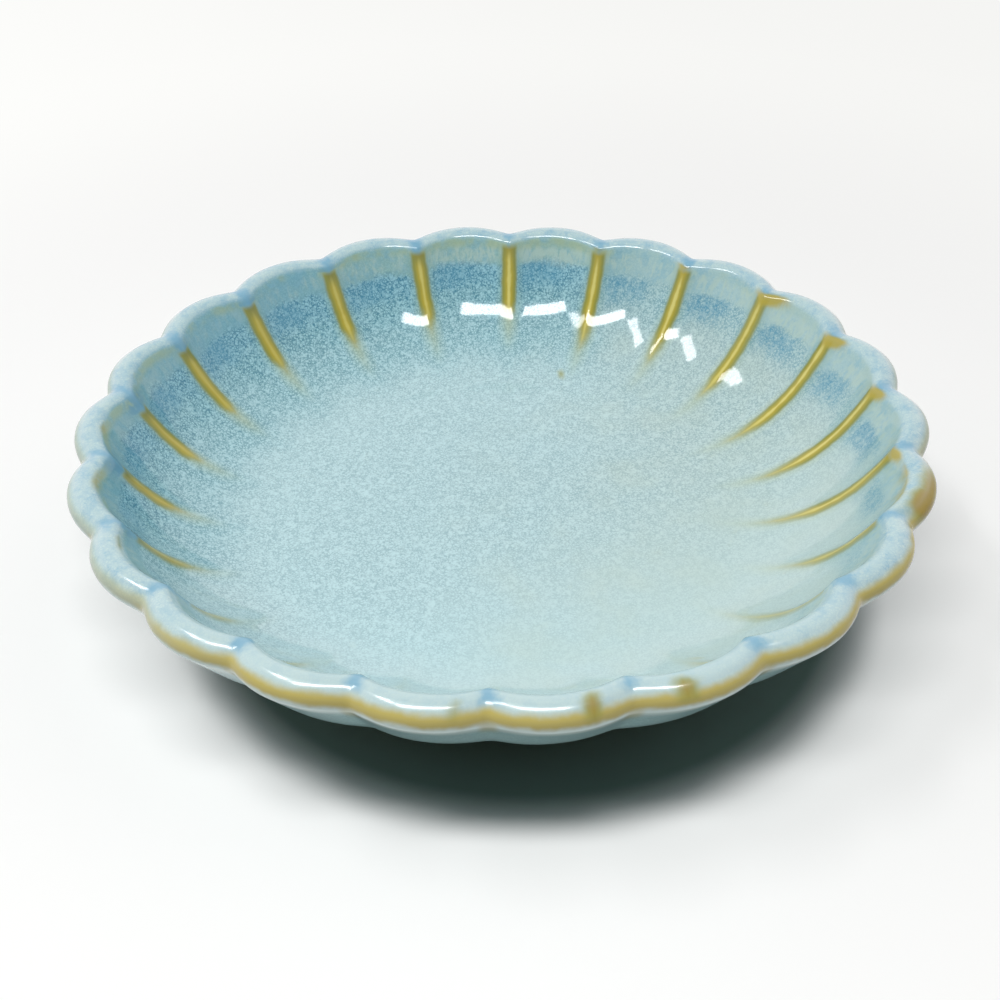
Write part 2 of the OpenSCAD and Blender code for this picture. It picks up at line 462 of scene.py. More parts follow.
def foot_detail(material):
    """The foot ring as it left the wheel: turning lines on its sides, and a worn standing face."""
    columns = Columns(CLAY_COLUMNS)
    taper = (FOOT_W - FOOT_FACE_W) / 2 - FOOT_EDGE_R
    outer_edge = FOOT_R - taper - FOOT_EDGE_R
    inner_edge = RECESS_R + taper + FOOT_EDGE_R
    # Radius, height, and how far the turning lines draw each ring in, or out if below zero
    profile = []
    for k in range(SIDE_STEPS + 1):
        share = k / SIDE_STEPS
        profile.append((FOOT_R - taper * share, UNDER_Z + (FOOT_EDGE_R - UNDER_Z) * share, 1))
    turn = quarter_turn(EDGE_STEPS)
    for k, angle in enumerate(turn[1:], 1):
        radius = FOOT_R - taper - FOOT_EDGE_R * (1 - math.cos(angle))
        profile.append((radius, FOOT_EDGE_R * (1 - math.sin(angle)), 1 - k / EDGE_STEPS))
    for k in range(1, FACE_STEPS):
        profile.append((outer_edge + (inner_edge - outer_edge) * k / FACE_STEPS, 0, 0))
    for k, angle in enumerate(reversed(turn)):
        radius = RECESS_R + taper + FOOT_EDGE_R * (1 - math.cos(angle))
        profile.append((radius, FOOT_EDGE_R * (1 - math.sin(angle)), k / EDGE_STEPS))
    for k in range(1, SIDE_STEPS + 1):
        share = k / SIDE_STEPS
        height = FOOT_EDGE_R + (UNDER_Z - FOOT_EDGE_R) * share
        profile.append((RECESS_R + taper * (1 - share), height, -1))
    rings = []
    for radius, height, cut in profile:
        groove = 0.5 - 0.5 * math.cos(2 * math.pi * height / GROOVE_PITCH)
        wobble = 0.5 + 0.5 * np.sin(columns.angle * 3 + height / MM)
        rings.append((radius - GROOVE_DEPTH * groove * wobble * cut, height))
    foot = ring_object("foot_turned", columns.placed(rings))
    part_of_dish(foot, "foot_ring", material)


def base_pool(material):
    """The glaze inside the foot: a shallow pool with a rounded, slightly uneven edge."""
    columns = Columns(CLAY_COLUMNS)
    wave = 0.5 + 0.3 * np.sin(columns.angle * 3 + 0.6) + 0.2 * np.sin(columns.angle * 7 + 2)
    reach = BASE_R - BASE_WANDER * wave
    thick = UNDER_Z - BASE_LOW_Z
    clay_n, face_n = BASE_CLAY_RINGS, BASE_FACE_RINGS
    rings = [(reach * (k + 0.5) / clay_n, UNDER_Z) for k in range(clay_n - 1)]
    rings.append((reach, UNDER_Z))
    for angle in quarter_turn(EDGE_STEPS)[1:]:
        rings.append((reach - thick * (1 - math.cos(angle)), UNDER_Z - thick * math.sin(angle)))
    rings += [((reach - thick) * (1 - k / face_n), BASE_LOW_Z) for k in range(1, face_n)]
    points = columns.placed(rings)
    face = points[BASE_CLAY_RINGS + EDGE_STEPS :]
    face[..., 2] += BASE_RIPPLE * (1 + noise_at(face, BASE_RIPPLE_SIZE, 3))
    part_of_dish(grid_object("base_pool", points), "base_glaze", material)


# Materials


class NodeTree:
    """A node tree. Each method adds a node and gives back the socket that holds its result."""

    def __init__(self, tree):
        self.nodes = tree.nodes
        self.links = tree.links

    def feed(self, socket, value):
        if isinstance(value, bpy.types.NodeSocket):
            self.links.new(value, socket)
        elif isinstance(value, tuple) and len(value) == 3 and socket.type == "RGBA":
            socket.default_value = (*value, 1)
        else:
            socket.default_value = value

    def attribute(self, name):
        node = self.nodes.new("ShaderNodeAttribute")
        node.attribute_name = name
        return node.outputs["Fac"]

    def position(self):
        return self.nodes.new("ShaderNodeTexCoord").outputs["Object"]

    def math(self, operation, first, second=0.0, third=0.0):
        node = self.nodes.new("ShaderNodeMath")
        node.operation = operation
        for socket, value in zip(node.inputs, (first, second, third)):
            self.feed(socket, value)
        return node.outputs[0]

    def add(self, first, second):
        return self.math("ADD", first, second)

    def times(self, first, second):
        return self.math("MULTIPLY", first, second)

    def step(self, value, start, end, low=0.0, high=1.0):
        """A soft step of value: low before start, high after end."""
        node = self.nodes.new("ShaderNodeMapRange")
        node.interpolation_type = "SMOOTHSTEP"
        for socket, number in zip(node.inputs, (value, start, end, low, high)):
            self.feed(socket, number)
        return node.outputs["Result"]

    def fade(self, value, start, end):
        """1 before start, and 0 after end."""
        return self.step(value, start, end, 1.0, 0.0)

    def hump(self, value, start, peak_start, peak_end, end):
        """1 from peak_start to peak_end, and 0 outside start and end."""
        return self.times(self.step(value, start, peak_start), self.fade(value, peak_end, end))

    def graded(self, value, colours, places):
        """The first colour, which turns softly into each next one between its pair of places."""
        result = colours[0]
        for (start, end), colour in zip(places, colours[1:]):
            result = self.mix(self.step(value, start, end), result, colour)
        return result

    def centred(self, value):
        """A noise from 0 to 1 as one from -0.5 to 0.5."""
        return self.add(value, -0.5)

    def toward(self, place, azimuth):
        """How far a place lies towards an azimuth: -1 to 1 across the foot, and more beyond it."""
        node = self.nodes.new("ShaderNodeVectorMath")
        node.operation = "DOT_PRODUCT"
        self.feed(node.inputs[0], place)
        node.inputs[1].default_value = (math.cos(azimuth) / FOOT_R, math.sin(azimuth) / FOOT_R, 0)
        return node.outputs["Value"]

    def distance(self, place, middle):
        node = self.nodes.new("ShaderNodeVectorMath")
        node.operation = "DISTANCE"
        self.feed(node.inputs[0], place)
        node.inputs[1].default_value = middle
        return node.outputs["Value"]

    def rolled(self, drop, stretch):
        """Place on the wall as if on a cylinder, whose height is the drop times a stretch."""
        flat = self.nodes.new("ShaderNodeVectorMath")
        flat.operation = "MULTIPLY"
        self.feed(flat.inputs[0], self.position())
        flat.inputs[1].default_value = (1, 1, 0)
        unit = self.nodes.new("ShaderNodeVectorMath")
        unit.operation = "NORMALIZE"
        self.links.new(flat.outputs[0], unit.inputs[0])
        scaled = self.nodes.new("ShaderNodeVectorMath")
        scaled.operation = "MULTIPLY_ADD"
        self.links.new(unit.outputs[0], scaled.inputs[0])
        scaled.inputs[1].default_value = (ROLL_R, ROLL_R, 0)
        raised = self.nodes.new("ShaderNodeCombineXYZ")
        self.feed(raised.inputs["Z"], self.times(drop, stretch * MM))
        self.links.new(raised.outputs[0], scaled.inputs[2])
        return scaled.outputs[0]

    def noise(self, vector, size, detail=2.0, roughness=0.5, distortion=0.0, seed=0.0):
        """Noise from 0 to 1 whose lumps are about size across, in metres."""
        node = self.nodes.new("ShaderNodeTexNoise")
        node.noise_dimensions = "4D"
        self.feed(node.inputs["Vector"], vector)
        node.inputs["W"].default_value = seed
        node.inputs["Scale"].default_value = 1 / size
        node.inputs["Detail"].default_value = detail
        node.inputs["Roughness"].default_value = roughness
        node.inputs["Distortion"].default_value = distortion
        return node.outputs["Fac"]

    def net(self, vector, size, bend):
        """Distance from a net of winding lines, as a share of the size of its meshes."""
        stir = self.nodes.new("ShaderNodeTexNoise")
        self.feed(stir.inputs["Vector"], vector)
        stir.inputs["Scale"].default_value = 1 / size
        stir.inputs["Detail"].default_value = 1
        bent = self.nodes.new("ShaderNodeVectorMath")
        bent.operation = "MULTIPLY_ADD"
        self.links.new(stir.outputs["Color"], bent.inputs[0])
        bent.inputs[1].default_value = (bend, bend, bend)
        self.feed(bent.inputs[2], vector)
        cells = self.nodes.new("ShaderNodeTexVoronoi")
        cells.feature = "DISTANCE_TO_EDGE"
        self.links.new(bent.outputs[0], cells.inputs["Vector"])
        cells.inputs["Scale"].default_value = 1 / size
        return cells.outputs["Distance"]

    def mix(self, share, first, second):
        node = self.nodes.new("ShaderNodeMix")
        node.data_type = "RGBA"
        self.feed(node.inputs[0], share)
        self.feed(node.inputs[6], first)
        self.feed(node.inputs[7], second)
        return node.outputs[2]

    def mix_shader(self, share, first, second):
        node = self.nodes.new("ShaderNodeMixShader")
        for socket, value in zip(node.inputs, (share, first, second)):
            self.feed(socket, value)
        return node.outputs[0]

    def seen_directly(self):
        """1 for a ray that is seen, also in a reflection, and 0 for a ray that only lights."""
        path = self.nodes.new("ShaderNodeLightPath")
        seen = self.add(path.outputs["Is Camera Ray"], path.outputs["Is Glossy Ray"])
        return self.math("MINIMUM", self.add(seen, path.outputs["Is Transmission Ray"]), 1.0)


class Shader(NodeTree):
    """One node material with a Principled surface."""

    def __init__(self, name):
        self.material = bpy.data.materials.new(name)
        self.material.use_nodes = True
        super().__init__(self.material.node_tree)
        self.nodes.clear()
        self.surface = self.nodes.new("ShaderNodeBsdfPrincipled")
        self.output = self.nodes.new("ShaderNodeOutputMaterial").inputs["Surface"]
        self.links.new(self.surface.outputs["BSDF"], self.output)

    def bump(self, height, distance, strength=1.0):
        node = self.nodes.new("ShaderNodeBump")
        node.inputs["Strength"].default_value = strength
        node.inputs["Distance"].default_value = distance
        self.feed(node.inputs["Height"], height)
        self.links.new(node.outputs["Normal"], self.surface.inputs["Normal"])

    def glaze_bump(self):
        """The faint orange peel of a fired glaze."""
        self.bump(self.noise(self.position(), PEEL_SIZE, detail=1, seed=9), PEEL_DEPTH, 0.3)


# Light and dark of the grain: in the well, low and high in the cove, and on the wall
LIGHT = (linear(190, 219, 223), linear(176, 213, 220), linear(164, 208, 217), linear(154, 203, 216))
DARK = (linear(156, 187, 194), linear(114, 160, 172), linear(86, 142, 160), linear(70, 134, 160))
# The same on the warmer side: in the well, and on the wall
LIGHT_WARM = (linear(192, 214, 212), linear(178, 207, 207))
DARK_WARM = (linear(154, 181, 184), linear(124, 168, 182))
CLOUD = linear(190, 206, 192)
POOL = linear(84, 151, 180)
# Under the inner shoulder: behind, on the cold side, on the warm one, and the blue mottling in
# each, then the wisps and the line at the shoulder itself
UNDER = linear(150, 188, 182)
UNDER_COLD = linear(126, 180, 194)
UNDER_WARM = linear(172, 203, 206)
UNDER_VEIN = linear(118, 172, 194)
WISP = linear(186, 208, 196)
EDGE = linear(168, 184, 142)
# Over a ridge, from what surrounds it to its middle, and the dark tip of the amber
HALO = linear(140, 172, 156)
CREAM = linear(182, 194, 156)
OLIVE = linear(144, 146, 68)
AMBER = linear(184, 166, 62)
# The light thread along a ridge's middle is partly glaze colour and partly a painted highlight
THREAD_AND_HIGHLIGHT = linear(222, 211, 122)
OLIVE_DARK = linear(122, 130, 68)
# Lip, the run of blue in each notch, and the blue that fans out under it
LIP = linear(194, 217, 217)
LIP_VEIN = linear(140, 184, 205)
RUN = linear(112, 170, 200)
FLANK = linear(100, 160, 190)
# Outer shoulder, its spots, and the outside below it
BAND = linear(196, 176, 70)
BAND_PALE = linear(186, 188, 142)
BAND_BRIGHT = linear(162, 134, 22)
SPOT = linear(154, 152, 66)
# Painted light: the outside is lighter just under the outer shoulder, where light falls on it
OUTSIDE_PAINTED_LIGHT = linear(220, 240, 236)
OUTSIDE = linear(188, 224, 224)
OUTSIDE_VEIN = linear(158, 188, 192)

# Sizes of the grain
VEIN_SIZE, VEIN_BEND = 0.38 * MM, 0.4 * MM
FLECK_SIZE = 0.27 * MM
BREAK_SIZE = 0.6 * MM
STRAND_SIZE = 0.7 * MM
RIPPLE_SIZE = 2.4 * MM
CLOUD_SIZE = 6 * MM
PATCH_SIZE = 9 * MM
# The orange peel of the glaze
PEEL_SIZE, PEEL_DEPTH = 0.9 * MM, 0.02 * MM
# The cylinder on which strands are laid out, and their stretch
ROLL_R = 45 * MM
STRAND_STRETCH = 0.45
# Bare clay and the glaze inside the foot
GRIT_SIZE, GRIT_DEPTH = 0.35 * MM, 0.05 * MM
GRIT = linear(110, 84, 60)
BASE_GRAIN_SIZE = 0.55 * MM
BASE_PATCH_SIZE = 8 * MM

# Where each layer starts, is full, begins to fade and has gone, in mm below the inner shoulder
POOL_DROPS = (3.0, 4.0, 5.4, 8.4)
WISP_DROPS = (0.9, 2.2, 3.0, 4.6)
EDGE_DROPS = (-0.1, 0.3, 0.7, 1.8)
FLANK_DROPS = (-0.8, 0.8, 2.4, 4.8)
SHINE_DROPS = (-3.1, -2.5, -1.6, -0.8)
BAND_DROPS = (-5.1, -4.2, -3.7, -2.6)
NOTCH_DROPS = (-9.0, -6.0, -4.6, -3.8)
# Where each layer turns into the next, likewise
WALL_DROPS = (10.0, 4.5)
UNDER_DROPS = (4.0, 2.8)
LIP_DROPS = (0.5, -0.5)
RUN_DROPS = (-3.2, -2.0)
OUTSIDE_DROPS = (-4.1, -4.9)
# Where the painted light under the outer shoulder gives way to the plainer outside
OUTSIDE_LIGHT_FADE_DROPS = (-5.4, -8.0)

# Distances from the middle of a ridge over which each layer on it fades, in mm
HALO_WIDTHS = (1.0, 2.2)
CREAM_WIDTHS = (0.3, 1.3)
OLIVE_WIDTHS = (0.75, 1.3)
AMBER_WIDTHS = (0.25, 0.85)
THREAD_AND_HIGHLIGHT_WIDTHS = (0.06, 0.36)
NOTCH_WIDTHS = (0.3, 1.3)
RUN_WIDTHS = (0.1, 1.5)
FLANK_WIDTHS = (0.8, 3.4)


class ReactiveGlaze(Shader):
    """The glaze of the dish. Each method lays one layer on the colour of those before it."""

    def __init__(self):
        super().__init__("reactive_glaze")
        place = self.position()
        self.place = place
        self.drop = self.attribute("drop")
        self.ridge = self.attribute("ridge")

        # Fine winding grain, from 0 in a light mesh to 1 on a dark vein
        self.broken = self.noise(place, BREAK_SIZE, detail=1, seed=8)
        net = self.net(place, VEIN_SIZE, VEIN_BEND)
        vein = self.times(self.step(net, 0.18, 0.05), self.step(self.broken, 0.32, 0.54))
        flecks = self.noise(place, FLECK_SIZE, detail=1, roughness=0.5, distortion=0.4, seed=7)
        fleck = self.step(flecks, 0.54, 0.38)
        both = self.add(self.times(vein, 0.8), self.times(fleck, 0.45))
        self.fine = self.math("MINIMUM", both, 1.0)

        # Soft noises that break up every edge, and strands that run down the wall
        self.patch = self.centred(self.noise(place, PATCH_SIZE, detail=2, seed=3))
        ripple = self.noise(place, RIPPLE_SIZE, detail=2.5, roughness=0.6, seed=6)
        self.ripple = self.centred(ripple)
        wall = self.rolled(self.drop, STRAND_STRETCH)
        self.strand = self.noise(wall, STRAND_SIZE, 2.5, roughness=0.6, distortion=0.4, seed=2)
        self.tuft = self.times(self.centred(self.strand), 1.8)
        broken_ripple = self.add(self.ripple, self.times(self.centred(self.broken), 0.6))
        self.mottle = self.step(broken_ripple, 0.1, -0.2)

        # Sides of the dish, and the drop with a wandering edge
        self.cold = self.add(self.toward(place, GRAINY_SIDE), self.patch)
        self.warm = self.step(self.cold, 0.35, -0.95)
        self.behind = self.toward(place, math.pi / 2)
        wander = self.add(self.times(self.ripple, 2.4), self.times(self.patch, 2.4))
        self.loose = self.add(self.drop, wander)

        # Along each ridge, from the start of its amber, and across it
        start = self.attribute("start")
        strong = self.attribute("strong")
        faded = self.attribute("faded")
        self.from_start = self.add(self.drop, self.times(start, -1.0))
        along = self.times(self.step(self.from_start, -0.2, 0.8), self.attribute("strength"))
        rippled_drop = self.add(self.drop, self.times(self.ripple, 1.5))
        lasting = self.fade(rippled_drop, self.add(strong, -1.5), faded)
        self.present = self.times(along, lasting)
        self.trail = self.times(along, self.fade(self.drop, strong, self.add(faded, 5.5)))
        narrowing = self.step(lasting, 0.8, 0.0, 0.0, 0.25)
        self.across = self.add(self.add(self.ridge, self.times(self.ripple, 0.5)), narrowing)

    def layer(self, colour, share, amount, added):
        """Lays a colour over another one by a share of an amount."""
        return self.mix(self.times(share, amount), colour, added)

    def grain(self):
        """Well, cove and wall: deeper up the wall on the cold side and behind, calm in front."""
        climb = self.times(self.step(self.cold, -1.05, 0.35), self.step(self.behind, -0.95, -0.15))
        depth = self.add(self.loose, self.step(climb, 0.0, 1.0, 12.0, 0.0))
        high = self.step(self.loose, *WALL_DROPS)
        light = self.graded(depth, LIGHT, GRAIN_PLACES)
        light = self.layer(light, self.warm, 0.9, self.mix(high, *LIGHT_WARM))
        dark = self.graded(depth, DARK, GRAIN_PLACES)
        dark = self.layer(dark, self.warm, 0.9, self.mix(high, *DARK_WARM))
        lively = self.add(self.times(self.cold, 0.5), self.times(self.behind, 0.7))
        colour = self.layer(light, self.fine, self.step(lively, -0.9, 0.0, 0.35, 1.0), dark)
        cloud = self.noise(self.place, CLOUD_SIZE, detail=2, seed=12)
        cloudy = self.times(self.step(cloud, 0.42, 0.7), self.step(self.cold, 0.3, -0.6))
        return self.layer(colour, cloudy, 0.2, CLOUD)

    def pools(self, colour):
        """Blue pools under the lip, with a sharp upper edge, ragged sides and a streaky grain."""
        side = self.add(self.attribute("phase"), self.times(self.ripple, 1.8))
        share = self.times(self.hump(self.loose, *POOL_DROPS), self.step(side, -0.7, 0.9))
        share = self.times(share, self.attribute("pooling"))
        share = self.times(share, self.step(self.strand, 0.66, 0.40, 0.35, 1.0))
        share = self.times(share, self.step(self.fine, 0.0, 1.0, 0.6, 1.0))
        return self.layer(colour, share, 0.9, POOL)

    def under_shoulder(self, colour):
        """Paler glaze under the inner shoulder, with wisps that sag between the ridges."""
        under = self.step(self.add(self.loose, self.tuft), *UNDER_DROPS)
        pale = self.mix(self.step(self.cold, 0.5, 1.1), UNDER, UNDER_COLD)
        pale = self.layer(self.mix(self.warm, pale, UNDER_WARM), self.mottle, 0.5, UNDER_VEIN)
        colour = self.layer(colour, under, 0.8, pale)
        middle = self.attribute("middle")
        sag = self.add(self.drop, self.times(self.times(middle, middle), 1.7))
        sag = self.add(self.add(sag, self.tuft), self.times(self.ripple, 1.6))
        wispy = self.step(self.add(self.strand, self.times(self.patch, 0.5)), 0.36, 0.62)
        wisps = self.times(self.hump(sag, *WISP_DROPS), wispy)
        colour = self.layer(colour, wisps, self.step(self.cold, 1.2, 0.3, 0.25, 0.65), WISP)
        patchy = self.step(self.add(self.patch, self.ripple), -0.22, 0.16)
        edge = self.times(self.hump(self.drop, *EDGE_DROPS), patchy)
        return self.layer(colour, edge, self.step(self.cold, -0.6, 0.2, 0.2, 0.6), EDGE)

    def ridges(self, colour):
        """Amber ridges, with a pale halo, an olive edge and a light thread that is partly a painted
        highlight.
        """
        halo = self.times(self.fade(self.across, *HALO_WIDTHS), self.trail)
        paling = self.mix(self.step(self.drop, 7.0, 12.0), HALO, CREAM)
        colour = self.layer(colour, halo, 0.35, paling)
        cream = self.times(self.fade(self.across, *CREAM_WIDTHS), self.trail)
        colour = self.layer(colour, cream, 0.5, CREAM)
        colour = self.layer(colour, self.fade(self.across, *OLIVE_WIDTHS), self.present, OLIVE)
        tip = self.step(self.from_start, 2.6, 0.6)
        tip = self.times(tip, self.step(self.cold, -0.3, 1.0, 0.0, 0.8))
        amber = self.mix(tip, AMBER, OLIVE_DARK)
        colour = self.layer(colour, self.fade(self.across, *AMBER_WIDTHS), self.present, amber)
        # Light thread along the ridge's middle, partly a painted highlight
        thread = self.fade(self.across, *THREAD_AND_HIGHLIGHT_WIDTHS)
        thread = self.times(thread, self.step(self.from_start, 0.4, 2.5))
        thread = self.times(thread, self.present)
        return self.layer(colour, thread, self.step(self.cold, 1.3, 0.0, 0.3, 0.95), THREAD_AND_HIGHLIGHT)

    def lip(self, colour):
        """Lip: pale, mottled with blue, with a blue run in each notch that fans out under it."""
        # In front the lip's colour reaches further in, down to where the lip hides the wall
        hidden = self.step(self.behind, -0.2, -0.9, 0.0, -1.0)
        edge = self.add(self.add(self.drop, hidden), self.times(self.ripple, 0.9))
        veined = self.add(self.times(self.fine, 0.35), self.times(self.mottle, 0.5))
        mottled = self.layer(LIP, veined, self.step(self.behind, -0.9, -1.35, 1.0, 0.35), LIP_VEIN)
        colour = self.mix(self.step(edge, *LIP_DROPS), colour, mottled)
        fan = self.times(self.hump(self.loose, *FLANK_DROPS), self.step(self.cold, 0.4, 1.0))
        fan = self.times(fan, self.fade(self.ridge, *FLANK_WIDTHS))
        fan = self.times(fan, self.step(self.add(self.strand, self.ripple), 0.36, 0.62))
        fan = self.times(fan, self.step(self.present, 0.5, 0.0))
        colour = self.layer(colour, fan, 0.8, FLANK)
        ragged = self.add(self.ridge, self.times(self.ripple, 2.2))
        ragged = self.add(ragged, self.times(self.centred(self.strand), 0.8))
        widening = self.step(self.drop, 3.0, -1.5, 0.5, 1.0)
        run = self.fade(self.math("DIVIDE", ragged, widening), *RUN_WIDTHS)
        run = self.times(run, self.step(self.from_start, 0.8, -0.3))
        run = self.times(run, self.step(self.drop, *RUN_DROPS))
        return self.layer(colour, run, 0.75, RUN)

    def outer_shoulder(self, colour):
        """Pale glaze on the outside, painted lighter just under the shoulder, with amber round the
        outer shoulder and down each notch.
        """
        edge = self.add(self.drop, self.ripple)
        low = self.layer(OUTSIDE, self.fine, 0.5, OUTSIDE_VEIN)
        # Painted light just under the shoulder, turning lower down into the plainer, veined outside
        outside = self.mix(self.step(edge, *OUTSIDE_LIGHT_FADE_DROPS), OUTSIDE_PAINTED_LIGHT, low)
        colour = self.mix(self.step(edge, *OUTSIDE_DROPS), colour, outside)
        side = self.add(self.behind, self.times(self.cold, 0.35))
        amber = self.mix(self.step(side, -0.4, -1.1), BAND_PALE, BAND)
        band = self.hump(edge, *BAND_DROPS)
        colour = self.layer(colour, band, self.step(side, -0.2, -1.2, 0.45, 0.9), amber)
        notch = self.fade(self.across, *NOTCH_WIDTHS)
        notch = self.times(notch, self.hump(self.drop, *NOTCH_DROPS))
        return self.layer(colour, notch, 0.4, BAND)

    def spots(self, colour):
        """Olive spots, gold on the outer shoulder and amber at the ridge tops on the warm side."""
        places = self.attribute("spots")
        share = self.step(self.add(places, self.times(self.ripple, 0.9)), 0.1, 1.0)
        bright = self.times(self.step(self.drop, -0.6, -1.2), self.step(places, 0.5, 1.2))
        hooks = self.times(self.step(self.cold, 0.0, -0.6), self.step(self.drop, -1.0, -0.4))
        spot = self.mix(hooks, self.mix(bright, SPOT, BAND_BRIGHT), AMBER)
        return self.layer(colour, share, 0.9, spot)

    def lay(self):
        """Lays every layer, and a shine that is softer on veins and round the outer shoulder."""
        colour = self.under_shoulder(self.pools(self.grain()))
        colour = self.lip(self.ridges(colour))
        self.feed(self.surface.inputs["Base Color"], self.spots(self.outer_shoulder(colour)))
        veins = self.step(self.fine, 0.1, 0.9, 0.06, 0.09)
        lip = self.step(self.drop, -1.0, -2.2, 0.0, 0.08)
        self.feed(self.surface.inputs["Roughness"], self.add(veins, lip))
        self.surface.inputs["IOR"].default_value = 1.5
        self.feed(self.surface.inputs["Coat Weight"], self.hump(self.drop, *SHINE_DROPS))
        self.surface.inputs["Coat Roughness"].default_value = 0.25
        self.surface.inputs["Coat IOR"].default_value = 1.6
        self.glaze_bump()
        return self.material


def clay_material(name, colour, dark):
    """Bare fired clay, cloudy between two colours, with dark grit."""
    sh = Shader(name)
    place = sh.position()
    grit = sh.noise(place, GRIT_SIZE, detail=4, roughness=0.7)
    cloud = sh.noise(place, CLOUD_SIZE, detail=2, seed=4)
    tone = sh.mix(sh.step(cloud, 0.3, 0.7), colour, dark)
    sh.feed(sh.surface.inputs["Base Color"], sh.mix(sh.step(grit, 0.62, 0.72), tone, GRIT))
    sh.feed(sh.surface.inputs["Roughness"], sh.step(grit, 0.3, 0.7, 0.78, 0.9))
    sh.bump(grit, GRIT_DEPTH, 0.6)
    return sh.material


def base_glaze_material():
    """The glaze inside the foot, thinner and plainer than on the well."""
    sh = Shader("base_glaze_pool")
    place = sh.position()
    grain = sh.noise(place, BASE_GRAIN_SIZE, detail=3, roughness=0.55, distortion=0.6)
    patch = sh.noise(place, BASE_PATCH_SIZE, detail=2, seed=3)
    speck = sh.mix(sh.step(grain, 0.40, 0.62), DARK[1], LIGHT[0])
    sh.feed(sh.surface.inputs["Base Color"], sh.mix(sh.step(patch, 0.45, 0.7), speck, OUTSIDE))
    sh.feed(sh.surface.inputs["Roughness"], sh.step(grain, 0.3, 0.7, 0.14, 0.08))
    sh.glaze_bump()
    return sh.material


# Stage, lights and camera

TABLE_HALF = 3.0
# The table as it lights the dish, then as it is seen: with painted shade under the dish, and beside
# it, where a painted glow lightens it
BOUNCE = (0.6, 0.61, 0.61)
TABLE_SHADED = (0.15, 0.207, 0.187)
TABLE_LIT = (0.63, 0.63, 0.625)
TABLE_GLOW = (1, 1, 0.99)
TABLE_GLOW_STRENGTH = 0.31
# Distances over which the table turns into an even white, which is a little darker to the right
FADE_EDGE = (0.085, 0.18)
WHITE = linear(254, 254, 252)
WHITE_RIGHT = linear(245, 245, 243)
RIGHTWARD_EDGE = (-0.02, 0.3)
# The painted shade under the dish: its middle, and the distances from it over which the table's
# colour gets lighter, then its painted glow sets in
SHADE_MIDDLE = (3 * MM, -3 * MM, 0)
SHADE_EDGE = (36.3 * MM, 40.3 * MM)
GLOW_EDGE = (39 * MM, 44 * MM)
LIGHT_HEIGHT = 0.7
KEY_RADIANCE = 20
SIDE_RADIANCE = 13
ROOM_LIGHT = 0.008
# What a direct look and a reflection see of the room: its brightness low down and high up, and the
# heights between which it changes, as sines
ROOM_BRIGHTNESS = (0.9, 0.3)
ROOM_EDGE = (0.35, 0.9)
# Soft light from low on both sides: where each is, how wide it is as cosines, and how bright
FILL_MIDDLES = ((1.0, 0.35, 1.0), (-1.0, 0.3, 0.95))
FILL_SPREAD = (0.8, 0.95)
FILL_RADIANCE = 0.9


def table_material():
    """A pale table: painted shade, dark and a little green, under the dish, a painted glow beside
    it, and white far away.
    """
    sh = Shader("pale_table")
    near = sh.surface
    near.inputs["Roughness"].default_value = 0.9
    near.inputs["Specular IOR Level"].default_value = 0.1
    place = sh.position()
    # Painted shade: the table's own colour is darker and greener under the dish
    from_shade = sh.distance(place, SHADE_MIDDLE)
    shade = sh.step(from_shade, *SHADE_EDGE)
    sh.feed(near.inputs["Base Color"], sh.mix(shade, TABLE_SHADED, TABLE_LIT))
    # Painted light: the table glows beside the shade, though it is no lamp
    sh.feed(near.inputs["Emission Color"], TABLE_GLOW)
    glow = sh.step(from_shade, *GLOW_EDGE, 0.0, TABLE_GLOW_STRENGTH)
    sh.feed(near.inputs["Emission Strength"], glow)
    parts = sh.nodes.new("ShaderNodeSeparateXYZ")
    sh.feed(parts.inputs[0], place)
    rightward = sh.step(sh.add(parts.outputs["X"], parts.outputs["Y"]), *RIGHTWARD_EDGE)
    white = sh.nodes.new("ShaderNodeEmission")
    sh.feed(white.inputs["Color"], sh.mix(rightward, WHITE, WHITE_RIGHT))
    far = sh.step(sh.distance(place, (0, 0, 0)), *FADE_EDGE)
    seen = sh.mix_shader(far, near.outputs["BSDF"], white.outputs["Emission"])
    dull = sh.nodes.new("ShaderNodeBsdfDiffuse")
    sh.feed(dull.inputs["Color"], BOUNCE)
    sh.links.new(sh.mix_shader(sh.seen_directly(), dull.outputs["BSDF"], seen), sh.output)
    return sh.material


def floor():
    mesh = bpy.data.meshes.new("floor")
    corners = [(-1, -1), (1, -1), (1, 1), (-1, 1)]
    mesh.from_pydata([(x * TABLE_HALF, y * TABLE_HALF, 0) for x, y in corners], [], [(0, 1, 2, 3)])
    table = bpy.data.objects.new("floor", mesh)
    bpy.context.scene.collection.objects.link(table)
    table.data.materials.append(table_material())


def panel(name, across, along, radiance):
    """A ceiling light. Its sides are shares of its height, measured from the middle of the dish."""
    width = (across[1] - across[0]) * LIGHT_HEIGHT
    length = (along[1] - along[0]) * LIGHT_HEIGHT
    light = bpy.data.lights.new(name, "AREA")
    light.shape = "RECTANGLE"
    light.size, light.size_y = width, length
    light.energy = radiance * math.pi * width * length
    lamp = bpy.data.objects.new(name, light)
    bpy.context.scene.collection.objects.link(lamp)
    middle = Vector((sum(across) / 2, sum(along) / 2, 1)) * LIGHT_HEIGHT
    lamp.matrix_world = Matrix.Rotation(CAMERA_TURN, 4, "Z") @ Matrix.Translation(middle)


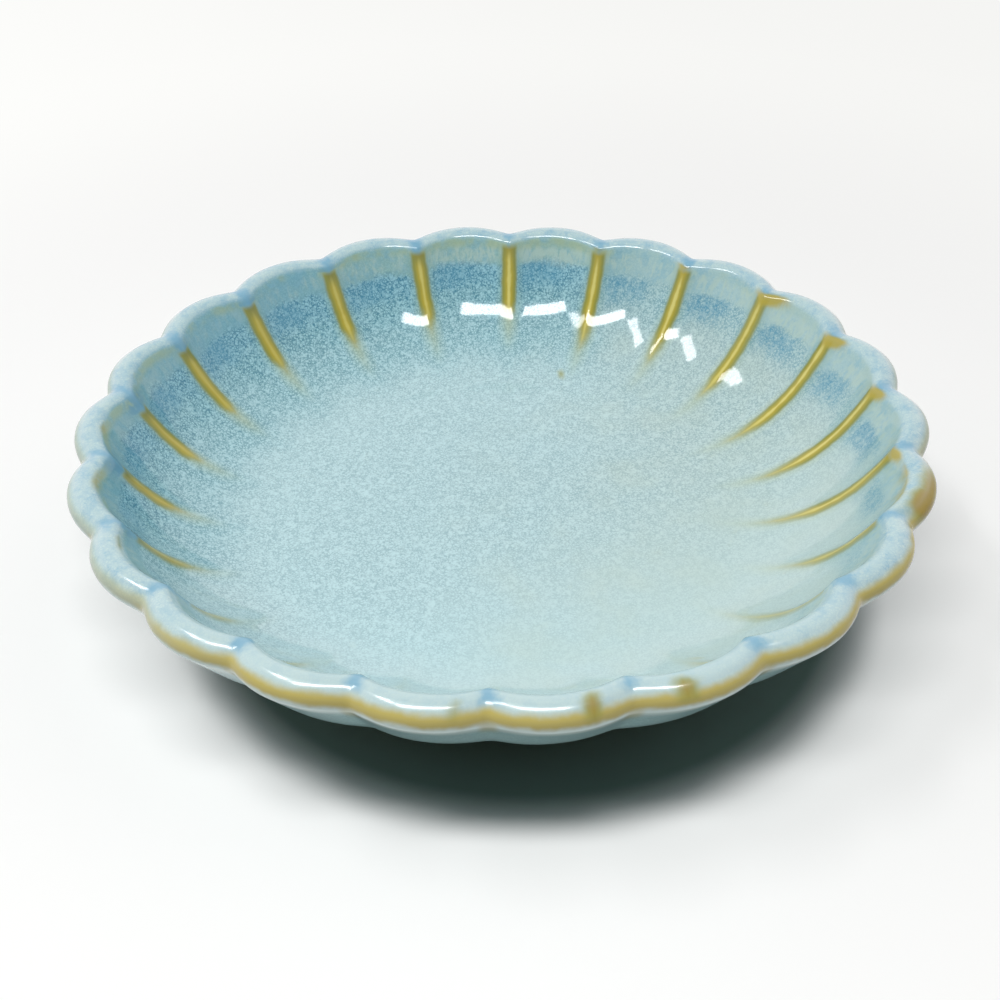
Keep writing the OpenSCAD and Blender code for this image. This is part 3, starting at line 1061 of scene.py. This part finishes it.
def lighting():
    panel("front_panel", (-0.46, 0.20), (-0.40, -0.22), KEY_RADIANCE)
    panel("side_panel", (-0.62, -0.47), (-0.18, 0.26), SIDE_RADIANCE)
    world = bpy.data.worlds.new("studio")
    world.use_nodes = True
    sh = NodeTree(world.node_tree)
    toward = sh.nodes.new("ShaderNodeTexCoord").outputs["Generated"]
    glow = ROOM_LIGHT
    for middle in FILL_MIDDLES:
        nearness = sh.nodes.new("ShaderNodeVectorMath")
        nearness.operation = "DOT_PRODUCT"
        sh.feed(nearness.inputs[0], toward)
        nearness.inputs[1].default_value = Vector(middle).normalized()
        fill = sh.step(nearness.outputs["Value"], *FILL_SPREAD)
        glow = sh.add(glow, sh.times(fill, FILL_RADIANCE))
    upward = sh.nodes.new("ShaderNodeSeparateXYZ")
    sh.feed(upward.inputs[0], toward)
    wall = sh.step(upward.outputs["Z"], *ROOM_EDGE, *ROOM_BRIGHTNESS)
    strength = sh.nodes.new("ShaderNodeMix")
    sh.feed(strength.inputs[0], sh.seen_directly())
    sh.feed(strength.inputs[2], glow)
    sh.feed(strength.inputs[3], wall)
    sh.feed(sh.nodes["Background"].inputs["Strength"], strength.outputs[0])
    sh.nodes["Background"].inputs["Color"].default_value = (1, 1, 1, 1)
    bpy.context.scene.world = world


def camera():
    data = bpy.data.cameras.new("camera")
    data.sensor_width = SENSOR_MM
    data.lens = SENSOR_MM * FOCAL_PX / IMAGE_PX
    data.clip_start = 0.01
    made = bpy.data.objects.new("camera", data)
    bpy.context.scene.collection.objects.link(made)
    back = Vector((0, -math.cos(CAMERA_ELEVATION), math.sin(CAMERA_ELEVATION)))
    yaw = math.atan((RIM_CENTRE_PX[0] - IMAGE_PX / 2) / FOCAL_PX)
    pitch = math.atan((IMAGE_PX / 2 - RIM_CENTRE_PX[1]) / FOCAL_PX)
    made.matrix_world = (
        Matrix.Translation((0, 0, DISH_H))
        @ Matrix.Rotation(CAMERA_TURN, 4, "Z")
        @ Matrix.Translation(back * CAMERA_DISTANCE)
        @ Matrix.Rotation(math.pi / 2 - CAMERA_ELEVATION, 4, "X")
        @ Matrix.Rotation(yaw, 4, "Y")
        @ Matrix.Rotation(-pitch, 4, "X")
        @ Matrix.Rotation(-CAMERA_ROLL, 4, "Z")
    )
    bpy.context.scene.camera = made


glaze_skin(ReactiveGlaze().lay())
clay_form(clay_material("fired_clay", linear(214, 202, 182), linear(196, 180, 158)))
foot_detail(clay_material("foot_clay", linear(206, 192, 170), linear(184, 166, 142)))
base_pool(base_glaze_material())
floor()
lighting()
camera()
bpy.context.scene.view_settings.view_transform = "Standard"
